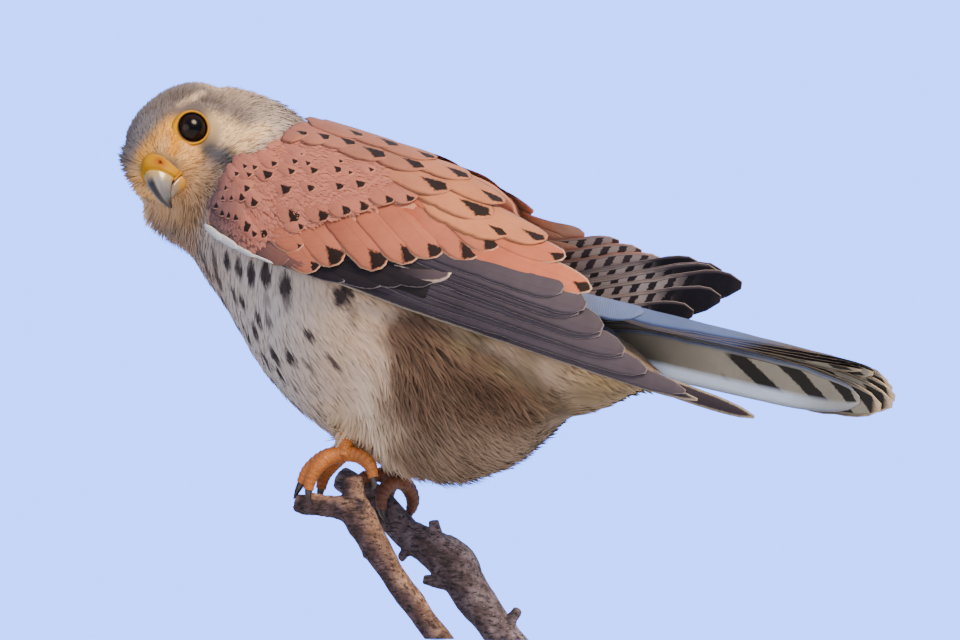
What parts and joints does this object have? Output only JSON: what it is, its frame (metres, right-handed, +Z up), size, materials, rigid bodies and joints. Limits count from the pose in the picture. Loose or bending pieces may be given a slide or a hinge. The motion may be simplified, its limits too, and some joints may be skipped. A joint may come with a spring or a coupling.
{
  "type": "perched kestrel",
  "caption": "Life-size male common kestrel perched on a forked twig, head turned to its left, held by a plain display stand with a flat base and rods.",
  "frame": {"origin": "middle of the stand's underside, on the surface it stands on", "axes": "+Z up, the bird faces -X and its left side is towards -Y"},
  "size_m": [0.2956, 0.124, 0.3],
  "materials": {
    "bare_skin": "smooth waxy yellow skin",
    "bark": "rough grey brown bark",
    "bill_horn": "polished horn, yellow to blue grey to black",
    "buff_feathers": "soft cream and buff plumage with dark drops",
    "claw": "polished black horn",
    "eye": "wet dark brown eye",
    "foot_skin": "scaly orange yellow skin",
    "grey_feathers": "soft grey plumage",
    "rufous_feathers": "brick orange plumage with dark spots",
    "stand_board": "dark satin board",
    "stand_steel": "satin steel rod",
    "tail_feathers": "blue grey tail feathers with a black band"
  },
  "bodies": {
    "root": {"torso": "buff_feathers", "neck": "grey_feathers", "head": "grey_feathers", "eye_left": "eye", "eyelid_left": "bare_skin", "eye_right": "eye", "eyelid_right": "bare_skin", "cere": "bare_skin", "beak_upper": "bill_horn", "beak_lower": "bill_horn", "wing_left": "rufous_feathers", "wing_right": "rufous_feathers", "tail": "tail_feathers", "tarsus_left": "foot_skin", "foot_left": "foot_skin", "claw_left_middle": "claw", "claw_left_inner": "claw", "claw_left_outer": "claw", "claw_left_back": "claw", "tarsus_right": "foot_skin", "foot_right": "foot_skin", "claw_right_middle": "claw", "claw_right_inner": "claw", "claw_right_outer": "claw", "claw_right_back": "claw", "perch_front": "bark", "perch_rear": "bark", "stand_base": "stand_board", "stand_rod_front": "stand_steel", "stand_rod_rear": "stand_steel"}
  },
  "joints": []
}
